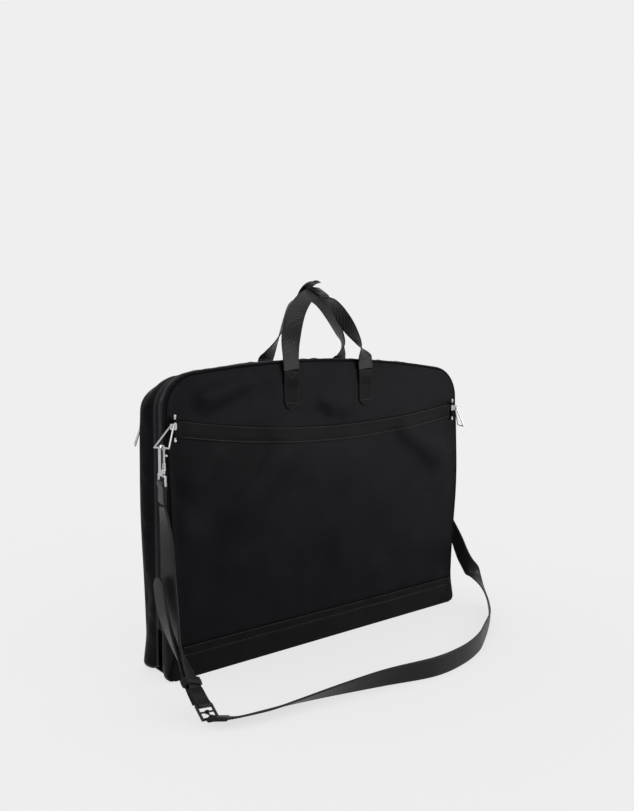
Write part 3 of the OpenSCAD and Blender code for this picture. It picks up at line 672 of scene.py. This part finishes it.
def add_zip(side, look):
    """Woven tape and coil up both sides and over the top."""
    zip_run = Piece()
    keep = [k for k, (_, z) in enumerate(outline(FACE_INSET)) if z >= ZIP_FOOT_Z]

    def ring(inset, d):
        loop = outline(inset)
        return [Vector((loop[k][0], OUT[side] * d, loop[k][1])) for k in keep]

    section = [(7.1, 7.4), (7.0, 5.0), (7.1, 3.0), (8.3, 3.0), (8.4, 5.0), (8.3, 7.4)]
    lines = [ring(inset, d) for inset, d in section]
    zip_run.rings([[line[i] for line in lines] for i in range(len(keep))], 0)
    outer, inner = ring(6.4, 1.8), ring(9.0, 1.8)
    walked, target, pitch = 0.0, 1.2, 2.3
    for i in range(len(keep) - 1):
        step = (outer[i + 1] - outer[i]).length
        while target <= walked + step:
            t = (target - walked) / step
            a, b = outer[i].lerp(outer[i + 1], t), inner[i].lerp(inner[i + 1], t)
            length = (b - a).length
            out = Vector((0, OUT[side], 0))
            zip_run.capsule((a + b) / 2, (b - a) / length, out, length + 0.8, 0.82, 1, 6)
            target += pitch
        walked += step
    looks = [look["tape"], look["teeth"]]
    zip_run.build(f"{side}_zip", looks, f"{side}_leaf", [f"{side}_zip_tape"], 50)


# ---------------------------------------------------------------- leather on the faces
def add_trim_band(side, look):
    """Sagging pebbled band, stitched along both edges, whose ends are rolled round the pins."""
    band = Piece()
    half = TRIM_H / 2
    rim = [half - 2.6, half - 1.6, half - 0.5, half]
    rows = [-v for v in reversed(rim)] + [-8, -4, 0, 4, 8] + rim

    def at(x, v, h):
        slope = x / CURVE_R
        z = band_z(x) + v * math.sqrt(1 - slope * slope)
        hold = ease((abs(x) - 240) / 37)
        p = on_face(side, x - v * slope * 0.5, z, h)
        p.y = mix(p.y, OUT[side] * (FACE_Y + 0.2 + h), hold)
        return p

    def thick(x, v):
        dip = 0.45 * math.exp(-((half - 2.1 - abs(v)) / 0.7) ** 2)
        return 2.0 - dip + 0.12 * noise.noise(Vector((x / 20, v / 8, SEED[side])))

    columns = spread(-PIN_X + 0.5, PIN_X - 0.5, 210)
    band.slab(columns, rows, at, thick)
    for edge in (-1, 1):
        v = edge * (half - 2.1)
        band.stitches([(at(x, v, 1.75), (0, OUT[side], 0)) for x in columns[4:-4]])
    for end in (-1, 1):
        x = end * (PIN_X - 9)
        band.stitches([(at(x, v, 2.05), (0, OUT[side], 0)) for v in spread(-half + 3, half - 3, 20)])
        for low, high in ((TRIM_Z - half, LUG_Z - 5.2), (LUG_Z + 5.2, TRIM_Z + half)):
            profile = [(1.75, low), (2.9, low), (3.35, low + 0.4)]
            profile += [(3.35, high - 0.4), (2.9, high), (1.75, high)]
            turns = spread(0, 2 * math.pi, 25)[:-1]
            rings = [
                [(end * PIN_X + r * math.cos(a), OUT[side] * PIN_Y + r * math.sin(a), z) for a in turns]
                for r, z in profile + profile[:1]
            ]
            band.rings(rings, 0, caps=False)
    looks = [look["leather"], look["thread"]]
    band.build(f"{side}_band", looks, f"{side}_leaf", [f"{side}_trim_band"])


def add_foot_band(side, look):
    """Leather along the bottom edge, folded over at its top and a little wavy."""
    band = Piece()
    top, fold = BAND_H + MIN_Z, BAND_H + MIN_Z - 16
    rows = [MIN_Z, 4.2, 6, 9, 13, 18, 23, 28]
    rows += [fold + v for v in (-1.6, -0.8, 0, 0.8, 1.6, 4, 8, 12)] + [top - 1.6, top - 0.5, top]

    def reach(z):
        _, _, _, r, low_x, low_z = corner_centres(3.4)
        return HALF_W - 3.4 if z > low_z else low_x + math.sqrt(max(r * r - (low_z - z) ** 2, 0))

    def at(u, z, h):
        x = u * reach(z)
        wave = 0.8 * noise.noise(Vector((x / 60, 3, SEED[side]))) * ease((HALF_W - 12 - abs(x)) / 30)
        return on_face(side, x, max(z + wave * ease((z - 2) / 20), MIN_Z), h)

    def thick(u, z):
        upper = 0.55 * ease((z - fold) / 1.2)
        crease = 0.7 * math.exp(-((z - fold) / 0.9) ** 2)
        wave = 0.5 * noise.noise(Vector((u * 9, z / 30, SEED[side] + 2))) * ease((z - fold) / 6)
        return max(1.3 + upper - crease + wave, 0.5)

    columns = spread(-1, 1, 170)
    band.slab(columns, rows, at, thick)
    band.stitches([(at(u, top - 2.2, 1.75), (0, OUT[side], 0)) for u in columns[3:-3]])
    band.stitches([(at(u, fold + 2.6, 1.75), (0, OUT[side], 0)) for u in columns[3:-3]])
    looks = [look["leather"], look["thread"]]
    band.build(f"{side}_foot", looks, f"{side}_leaf", [f"{side}_foot_band"], 45)


def add_tab(side, left, look):
    """Leather tab over the end of a handle: round at the bottom, boxed stitching at the top."""
    tab = Piece()
    middle = -TAB_X if left else TAB_X
    half, low, top = HANDLE_W / 2, TAB_LOW, TAB_TOP + 1.5
    rows = [low + 0.3 + (half - 0.3) * (1 - math.cos(math.pi / 2 * i / 12)) for i in range(12)]
    rows += spread(low + half, top - 1, 26) + [top]

    def reach(z):
        return math.sqrt(max(half ** 2 - max(low + half - z, 0) ** 2, 0.25))

    def at(u, z, h):
        return on_face(side, middle + u * reach(z), z, h)

    def thick(u, z):
        over = 2.0 * ease((z - 398) / 16)
        rim = 0.35 * math.exp(-((1 - abs(u)) / 0.12) ** 2)
        return 1.6 + over - rim

    columns = [-1, -0.97, -0.88, -0.8, -0.6, -0.3, 0, 0.3, 0.6, 0.8, 0.88, 0.97, 1]
    tab.slab(columns, rows, at, thick, edge=0.5)
    out = (0, OUT[side], 0)

    def row(points):
        path = [(at(u, z, thick(u, z) + 0.02), out) for u, z in points]
        tab.stitches(path, length=2.3, pitch=3.2, radius=0.3)

    row([(-0.82, z) for z in spread(low + 8, top - 2.5, 30)])
    row([(0.82, z) for z in spread(low + 8, top - 2.5, 30)])
    row([(0.84 * math.cos(a), low + half - 12.4 * math.sin(a)) for a in spread(0.62, math.pi - 0.62, 16)])
    for z in (low + 10.5, top - 4):
        row([(u, z) for u in spread(-0.75, 0.75, 12)])
    row([(u, top - 4.5 - 7.5 * (1 - abs(u) / 0.7)) for u in spread(-0.7, 0.7, 21)])
    name = f"{side}_tab_{'left' if left else 'right'}"
    looks = [look["leather"], look["thread"]]
    tab.build(f"{name}_leather", looks, f"{side}_leaf", [name], 50)


# ---------------------------------------------------------------- straps and webbing
def blend_at(a, b, c, d, t):
    """A smooth curve from b to c, guided by the stations before and after them."""
    square, cube = 2 * a - 5 * b + 4 * c - d, 3 * b - a - 3 * c + d
    return 0.5 * ((2 * b) + (c - a) * t + square * t * t + cube * t ** 3)


def along(route, part, steps):
    """Points on the smooth curve through a route's middles (part 0) or directions (part 1)."""
    values = [Vector(station[part]) for station in route]

    def pick(i):
        return values[min(max(i, 0), len(values) - 1)]

    found = [
        blend_at(pick(i - 1), pick(i), pick(i + 1), pick(i + 2), k / steps)
        for i in range(len(values) - 1) for k in range(steps)
    ]
    return found + [values[-1]]


def strip_frames(route, steps):
    """Middle, across and out directions along a route."""
    mid, across = along(route, 0, steps), along(route, 1, steps)
    frames = []
    for i, m in enumerate(mid):
        run = (mid[min(i + 1, len(mid) - 1)] - mid[max(i - 1, 0)]).normalized()
        side = (across[i] - run * across[i].dot(run)).normalized()
        frames.append((m, side, side.cross(run).normalized()))
    return frames


# Upper side of a strip in section, as shares of its half width and half thickness
WEB_SECTION = [(-1, -0.35), (-1, 0.35), (-0.975, 0.85), (-0.93, 1.05), (-0.86, 0.9), (-0.5, 0.82),
               (0, 0.8), (0.5, 0.82), (0.86, 0.9), (0.93, 1.05), (0.975, 0.85), (1, 0.35)]
HIDE_SECTION = [(-1, -0.3), (-1, 0.3), (-0.985, 0.75), (-0.94, 0.98), (-0.86, 0.86), (-0.78, 1.0),
                (-0.4, 1.06), (0.4, 1.06), (0.78, 1.0), (0.86, 0.86), (0.94, 0.98), (0.985, 0.75), (1, 0.3)]
# How thick the webbing and the straps are, and how high stitches stand over a strap's middle
HANDLE_T, STRAP_T, STITCH_H = 2.0, 2.4, 1.08


def both_faces(section):
    """Adds the underside, a mirror image of the listed upper side."""
    under = [(-u, -v) for u, v in section if v > 0.36]
    ends = [(1, -0.35)] if section[-1][1] > 0 else []
    return section + ends + under


def strip(piece, frames, width, thick, section, slot=0, round_tip=False):
    """A flat strip along its frames; a round tip grows from almost nothing to the full width."""
    rings, gone = [], 0.0
    for i, (m, side, out) in enumerate(frames):
        gone += (m - frames[max(i - 1, 0)][0]).length
        part = min((gone + 0.4) / (width * 0.45), 1.0) if round_tip else 1.0
        half = width / 2 * math.sqrt(1 - (1 - part) ** 2)
        rings.append([m + side * (u * half) + out * (v * thick / 2) for u, v in both_faces(section)])
    piece.rings(rings, slot)


def edge_stitches(piece, frames, share=0.86):
    """Stitches along both edges of both faces of a strap."""
    for way in (-1, 1):
        for face in (1, -1):
            off, rise = way * share * STRAP_W / 2, face * STITCH_H
            piece.stitches([(m + side * off + out * rise, out * face) for m, side, out in frames])


def add_handle(side, route, look):
    """A webbing handle; its feet lean with the leaf that they are sewn to."""
    handle = Piece()
    frames = []
    for m, across, out in strip_frames(route, 10):
        held = lean(side, m.x, HANDLE_Z) * ease((HANDLE_Z + 50 - m.z) / 45)
        frames.append((m - Vector((0, OUT[side] * held, 0)), across, out))
    strip(handle, frames, HANDLE_W, HANDLE_T, WEB_SECTION)
    name = f"{side}_handle"
    handle.build(f"{name}_webbing", [look["webbing"]], name, [name], 70)


def add_fold(piece, way, strap_end, length):
    """A strap's end folded back round the buckle's lower bar, where way is 1, or its upper one, -1."""
    run = Vector(BUCKLE_RUN).normalized()
    bar = Vector(BUCKLE_AT) + run * (way * BUCKLE_HALF)
    away = (Vector(strap_end) - bar).normalized()
    side = Vector(BUCKLE_ACROSS)
    side = (side - away * side.dot(away)).normalized()
    out = side.cross(away)
    nose = [(-3.3 * math.cos(a), 3.3 * math.sin(a)) for a in spread(-1.9, 1.9, 18)]
    flank = [(4.5, 2.5), (8, 2.3), (length * 0.6, 2.35), (length - 0.8, 2.2), (length, 1.5)]
    loop = nose + flank + [(t, -n) for t, n in reversed(flank)]
    half = STRAP_W / 2
    stations = [(-half, 0.78), (-half + 0.5, 0.97), (-half + 1.6, 1), (0, 1.03),
                (half - 1.6, 1), (half - 0.5, 0.97), (half, 0.78)]
    piece.rings([[bar + away * t + out * (n * s) + side * u for t, n in loop] for u, s in stations])
    for face in (-1, 1):
        for t in (7, 10, length - 2.5):
            start = bar + away * t + out * (face * 2.45)
            line = [start + side * u for u in spread(-half + 3, half - 3, 14)]
            piece.stitches([(p, out * face) for p in line], pitch=3.4)


def add_short_strap(look):
    """The hanging part of the strap, with its fold at the buckle, and the free tail beside it."""
    looks = [look["strap"], look["thread"]]
    for name, route in (("short_strap", SHORT_STRAP), ("strap_tail", STRAP_TAIL)):
        piece = Piece()
        free = route is STRAP_TAIL
        frames = strip_frames(route, 36 if free else 14)
        strip(piece, frames, STRAP_W, STRAP_T, HIDE_SECTION, round_tip=free)
        edge_stitches(piece, frames[14:] if free else frames)
        if route is SHORT_STRAP:
            add_fold(piece, -1, route[-1][0], 24)
        obj = piece.build(f"{name}_leather", looks, None, [name], 60)
        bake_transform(obj)


def add_long_strap(look):
    """The part of the strap that lies in front and climbs to the right-hand hook."""
    piece = Piece()
    frames = strip_frames(LONG_STRAP, 14)
    strip(piece, frames, STRAP_W, STRAP_T, HIDE_SECTION)
    edge_stitches(piece, frames)
    add_fold(piece, 1, LONG_STRAP[0][0], 22)
    looks = [look["strap"], look["thread"]]
    obj = piece.build("long_strap_leather", looks, None, ["long_strap"], 60)
    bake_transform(obj)


def frame_of(at, across, run):
    """The frame that CAD uses for the buckle and the loop: X across the strap, Z back up it."""
    up = -Vector(run).normalized()
    x = Vector(across)
    x = (x - up * x.dot(up)).normalized()
    y = up.cross(x)
    return Matrix.Translation(at) @ Matrix((x, y, up)).transposed().to_4x4()


def hook_frame(right):
    """The frame of a snap hook: its origin is the lower bar of the ring that it hangs on."""
    lean_angle = math.radians(LOADED_LEAN)
    half_turn = Matrix.Rotation(math.pi, 4, "Z") if right else Matrix.Identity(4)
    lug = Matrix.Translation((-PIN_X, -PIN_Y, LUG_Z))
    lug = lug @ Matrix.Rotation(math.radians(180 + LUG_TURN), 4, "Z")
    out = LUG_REACH + RING_DROP * math.sin(lean_angle)
    return half_turn @ lug @ Matrix.Translation((out, 0, -RING_DROP * math.cos(lean_angle)))


def add_strap_end(right, look):
    """The strap's folded end, sewn round the lower bar of the swivel."""
    name = "right" if right else "left"
    place = hook_frame(right) @ Matrix.Rotation(math.radians(STRAP_TURN), 4, "Z")
    bar = -HOOK_LEN - SWIVEL_DROP
    roll = [(4.1 * math.sin(a), bar + 4.1 * math.cos(a)) for a in spread(-2.2, 2.2, 22)]
    foot = bar - END_LEN
    flank = [(2.55, bar - 5.5), (2.4, bar - 8), (2.45, bar - 16), (2.35, foot + 0.6), (1.9, foot)]
    loop = roll + flank + [(-x, z) for x, z in reversed(flank)]
    half = STRAP_W / 2
    rim = [(3.2, 1), (2.4, 0.95), (1.6, 1), (0.5, 0.97), (0, 0.78)]
    stations = [(v - half, s) for v, s in reversed(rim)] + [(0, 1.02)] + [(half - v, s) for v, s in rim]
    end = Piece()
    end.rings([[place @ Vector((x * s, y, z)) for x, z in loop] for y, s in stations])
    turn = place.to_3x3()
    for face in (-1, 1):
        out = turn @ Vector((face, 0, 0))
        for y in (-half + 2.4, half - 2.4):
            line = [place @ Vector((face * 2.35, y, z)) for z in spread(bar - 7, foot + 2, 12)]
            end.stitches([(p, out) for p in line])
        for z in (bar - 7.5, bar - 11):
            line = [place @ Vector((face * 2.42, y, z)) for y in spread(-half + 3, half - 3, 14)]
            end.stitches([(p, out) for p in line], pitch=3.4)
    looks = [look["strap"], look["thread"]]
    end.build(f"{name}_end_leather", looks, f"{name}_swivel", [f"{name}_strap_end"], 45)


def sleeve(piece, place, axis_len, wide, deep, wall, power=4.5, sides=44):
    """A rounded leather loop about the local axis; axis is X of the frame given."""
    def ring(grow, x):
        points = []
        for k in range(sides):
            a = 2 * math.pi * k / sides
            c, s = math.cos(a), math.sin(a)
            r = (abs(c) ** power + abs(s) ** power) ** (-1 / power)
            points.append(place @ Vector((x, c * r * (wide / 2 + grow), s * r * (deep / 2 + grow))))
        return points

    half = axis_len / 2
    rim = [(3, wall * 1.05), (2, wall * 0.9), (0.5, wall), (0, wall * 0.6)]
    outer = [(v - half, g) for v, g in reversed(rim)] + [(0, wall * 1.15)] + [(half - v, g) for v, g in rim]
    rings = [ring(g, x) for x, g in outer] + [ring(0, x) for x in (half, 0, -half)]
    piece.rings(rings + rings[:1], 0, caps=False)


def add_keepers(look):
    """The sleeve and flap that join the handles, and the strap's loop."""
    keeper_x, keeper_y, keeper_z, tilt, length = -10, -17, 545.6, math.radians(28), 19
    place = Matrix.Translation((keeper_x, keeper_y, keeper_z)) @ Matrix.Rotation(tilt, 4, "X")
    looks = [look["strap"], look["thread"]]
    loop = Piece()
    sleeve(loop, place, length, HANDLE_W + 0.8, 4.8, 1.5)
    out = place.to_3x3() @ Vector((0, 0, 1))
    for x in (-length / 2 + 2.4, length / 2 - 2.4):
        loop.stitches([(place @ Vector((x, y, 3.85)), out) for y in spread(-13, 13, 16)], pitch=3.4)
    loop.build("keeper_sleeve", looks, "front_handle", ["handle_keeper"], 50)

    # Flap sewn to the back handle, arching forwards over both, with a rounded front end
    flap = Piece()
    centre_y, centre_z, r, front, back = -10, 521.5, 41.5, math.radians(-10), math.radians(60)
    lead = length / 2 / r

    def at(u, a, h):
        room = min(max((a - front) / lead, 0.04), 1.0)
        x = keeper_x + u * length / 2 * math.sqrt(1 - (1 - room) ** 2)
        reach = r - 0.9 + h
        return Vector((x, centre_y + reach * math.sin(a), centre_z + reach * math.cos(a)))

    columns = [-1, -0.95, -0.84, -0.74, -0.4, 0, 0.4, 0.74, 0.84, 0.95, 1]
    angles = [front + lead * (1 - math.cos(math.pi / 2 * i / 10)) for i in range(10)]
    angles += spread(front + lead, back, 34)
    flap.slab(columns, angles, at, lambda u, a: 1.8 - 0.35 * math.exp(-((abs(u) - 0.82) / 0.07) ** 2))
    for u in (-0.8, 0.8):
        line = spread(front + lead, back - 0.03, 40)
        path = [(at(u, a, 1.75), (0, math.sin(a), math.cos(a))) for a in line]
        flap.stitches(path, pitch=3.4, length=2.3)
    for a in (back - 0.04, back - 0.14):
        out = (0, math.sin(a), math.cos(a))
        flap.stitches([(at(u, a, 1.85), out) for u in spread(-0.7, 0.7, 9)], pitch=3)
    flap.build("keeper_flap_leather", looks, "keeper_flap", ["keeper_flap"], 50)

    # Loop that holds the strap's tail
    turn = Matrix(((0, 1, 0), (0, 0, 1), (1, 0, 0))).to_4x4()
    loop = Piece()
    sleeve(loop, frame_of(LOOP_AT, LOOP_ACROSS, LOOP_RUN) @ turn, 10, STRAP_W + 3, 11, 1.5)
    loop.build("strap_loop_leather", looks, "base", ["strap_keeper"], 50)


def add_inside(look):
    """Bottom board, elastic corner bands and the pocket for loose sheets."""
    half = HALF_W - LOW_R
    board = Piece()
    rows = [-FACE_Y, -FACE_Y + 1, -FACE_Y + 4, -20, -8, 0, 8, 20, FACE_Y - 4, FACE_Y - 1, FACE_Y]
    columns = [-half, -half + 1, -half + 4] + spread(-half + 20, half - 20, 40) + [half - 4, half - 1, half]
    board.slab(columns, rows, lambda x, y, h: Vector((x, y, h)), 3.0, edge=0.8)
    for y in (-FACE_Y + 3, FACE_Y - 3):
        board.stitches([((x, y, 3.0), (0, 0, 1)) for x in spread(-half + 5, half - 5, 120)])
    looks = [look["leather"], look["thread"]]
    board.build("bottom_board", looks, "base", ["spine_board"], 45)

    bands = Piece()
    for end in (-1, 1):
        for level, z in ((-1, 62), (1, 346)):
            run = Vector((1, 0, end * level * -1)).normalized()
            across = Vector((-run.z, 0, run.x))
            middle = Vector((end * (HALF_W - 62), -30.8, z))

            def at(u, v, h):
                bow = 1.6 * max(0.0, 1 - (u / 50) ** 2)
                return middle + run * u + across * v + Vector((0, bow + h, 0))

            bands.slab(spread(-55, 55, 34), [-10, -9.4, -8, -4, 0, 4, 8, 9.4, 10], at, 1.0)
            for u in (-51, 51):
                bands.stitches([(at(u, v, 1.0), (0, 1, 0)) for v in spread(-8.5, 8.5, 10)], pitch=3)
    looks = [look["webbing"], look["thread"]]
    bands.build("corner_bands", looks, "front_leaf", ["front_corner_straps"])

    pocket = Piece()
    wide, low, tall = 200, MIN_Z + 16, 170

    def on_board(x, z, h):
        belly = 3.2 * math.cos(x / wide * math.pi / 2) * ease((z - low) / 60)
        ripple = 0.5 * noise.noise(Vector((x / 30, z / 24, 8)))
        return Vector((x, 31.0 - (belly + ripple) * ease((wide - abs(x)) / 20) - h, z))

    def hem(x, z):
        return 1.0 + 0.8 * ease((z - low - tall + 18) / 1.5) + 0.6 * ease((-wide + 6 + abs(x)) / 1.5)

    columns = [-wide, -wide + 1, -wide + 5, -wide + 7] + spread(-wide + 14, wide - 14, 52)
    columns += [wide - 7, wide - 5, wide - 1, wide]
    rows = [low, low + 1, low + 4] + spread(low + 8, low + tall - 22, 22)
    rows += [low + tall - v for v in (19, 17, 12, 6, 1, 0)]
    pocket.slab(columns, rows, on_board, hem)
    for z in (low + tall - 2.5, low + tall - 15.5):
        pocket.stitches([(on_board(x, z, 1.85), (0, -1, 0)) for x in spread(-wide + 3, wide - 3, 140)])
    for x in (-wide + 2.5, wide - 2.5):
        pocket.stitches([(on_board(x, z, 1.65), (0, -1, 0)) for z in spread(low + 3, low + tall - 3, 60)])
    pocket.stitches([(on_board(x, low + 2.2, 1.1), (0, -1, 0)) for x in spread(-wide + 4, wide - 4, 140)])
    looks = [look["lining"], look["thread"]]
    pocket.build("sheet_pocket_cloth", looks, "back_leaf", ["back_sheet_pocket"], 45)


def finish_metal(look):
    """Every CAD node still shown is a metal fitting."""
    dark = ("zip_slider", "keeper_stud", "keeper_snap", "buckle_frame", "buckle_bar", "buckle_prong")
    for name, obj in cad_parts.items():
        if obj.hide_render:
            continue
        obj.data.materials.clear()
        obj.data.materials.append(look["gunmetal"] if name in dark else look["nickel"])


def main():
    add_camera()
    lit = add_studio()
    look = make_materials()
    for side in ("front", "back"):
        add_shell(side, look)
        add_board(side, look)
        add_zip(side, look)
        add_trim_band(side, look)
        add_foot_band(side, look)
        for left in (True, False):
            add_tab(side, left, look)
    add_handle("front", FRONT_HANDLE, look)
    add_handle("back", BACK_HANDLE, look)
    add_short_strap(look)
    add_long_strap(look)
    add_strap_end(False, look)
    add_strap_end(True, look)
    add_keepers(look)
    add_inside(look)
    finish_metal(look)
    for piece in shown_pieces():
        lit.objects.link(piece)


main()
